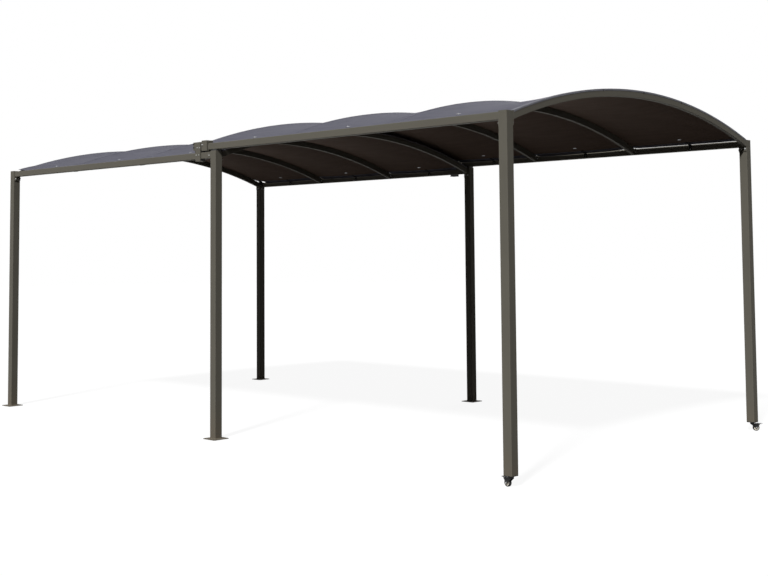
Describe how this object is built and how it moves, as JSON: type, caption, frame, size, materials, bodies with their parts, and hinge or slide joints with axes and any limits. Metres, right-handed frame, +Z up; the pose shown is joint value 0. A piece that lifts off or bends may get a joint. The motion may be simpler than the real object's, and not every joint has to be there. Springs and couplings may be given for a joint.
{
  "type": "telescoping carport",
  "caption": "Open carport with arched ribs and fabric canopies: a fixed bay on base plates and a rolling bay on castored posts that slides over it.",
  "frame": {"origin": "on the floor, below the middle of the whole carport", "axes": "+X along the length towards the castored posts, +Y from the front row of posts to the back row, +Z up"},
  "size_m": [6.0132, 3.15, 2.5182],
  "materials": {
    "powder_coat": "satin taupe-grey powder coat on steel tube",
    "canopy_cloth": "coated polyester cloth, matt grey",
    "nylon": "black nylon",
    "zinc": "bright zinc plate",
    "black_steel": "black zinc on pressed steel",
    "black_plastic": "moulded black plastic",
    "wheel_grey": "moulded grey polypropylene",
    "tyre_rubber": "black rubber tread"
  },
  "bodies": {
    "fixed_frame": {"base_plate_front_outer": "powder_coat", "base_plate_back_outer": "powder_coat", "base_plate_front_inner": "powder_coat", "base_plate_back_inner": "powder_coat", "post_front_outer": "powder_coat", "post_back_outer": "powder_coat", "post_front_inner": "powder_coat", "post_back_inner": "powder_coat", "fixed_post_caps": "powder_coat", "fixed_beam_front": "powder_coat", "fixed_beam_back": "powder_coat", "fixed_arch_1": "powder_coat", "fixed_arch_2": "powder_coat", "fixed_arch_3": "powder_coat", "fixed_arch_4": "powder_coat", "fixed_canopy": "canopy_cloth"},
    "mobile_frame": {"castor_post_front": "powder_coat", "castor_post_back": "powder_coat", "mobile_beam_front": "powder_coat", "mobile_beam_back": "powder_coat", "stub_post_front": "powder_coat", "stub_post_back": "powder_coat", "carriage_front": "powder_coat", "carriage_back": "powder_coat", "glide_pads_front": "nylon", "glide_pads_back": "nylon", "castor_mount_front": "black_steel", "castor_mount_back": "black_steel", "mobile_arch_1": "powder_coat", "mobile_arch_2": "powder_coat", "mobile_arch_3": "powder_coat", "mobile_arch_4": "powder_coat", "castor_post_caps": "powder_coat", "mobile_canopy": "canopy_cloth"},
    "swivel_front": {"castor_fork_front": "black_steel"},
    "wheel_front": {"wheel_core_front": "wheel_grey", "tyre_front": "tyre_rubber"},
    "brake_front": {"brake_lever_front": "black_plastic"},
    "swivel_back": {"castor_fork_back": "black_steel"},
    "wheel_back": {"wheel_core_back": "wheel_grey", "tyre_back": "tyre_rubber"},
    "brake_back": {"brake_lever_back": "black_plastic"}
  },
  "joints": [
    {"name": "mobile_slide", "type": "slide", "parent": "fixed_frame", "child": "mobile_frame", "axis": [-1, 0, 0], "range_m": [0, 2.67]},
    {"name": "castor_swivel_front", "type": "hinge", "parent": "mobile_frame", "child": "swivel_front", "pos_m": [2.94645, -1.505, 0.058], "axis": [0, 0, 1], "continuous": true},
    {"name": "wheel_spin_front", "type": "hinge", "parent": "swivel_front", "child": "wheel_front", "pos_m": [2.91986, -1.50031, 0.025], "axis": [-0.1736, -0.9848, 0], "continuous": true},
    {"name": "brake_press_front", "type": "hinge", "parent": "swivel_front", "child": "brake_front", "pos_m": [2.89918, -1.49666, 0.051], "axis": [-0.1736, -0.9848, 0], "range_deg": [0, 20]},
    {"name": "castor_swivel_back", "type": "hinge", "parent": "mobile_frame", "child": "swivel_back", "pos_m": [2.94645, 1.505, 0.058], "axis": [0, 0, 1], "continuous": true},
    {"name": "wheel_spin_back", "type": "hinge", "parent": "swivel_back", "child": "wheel_back", "pos_m": [2.96554, 1.52409, 0.025], "axis": [-0.7071, 0.7071, 0], "continuous": true},
    {"name": "brake_press_back", "type": "hinge", "parent": "swivel_back", "child": "brake_back", "pos_m": [2.98039, 1.53894, 0.051], "axis": [-0.7071, 0.7071, 0], "range_deg": [0, 20]}
  ]
}
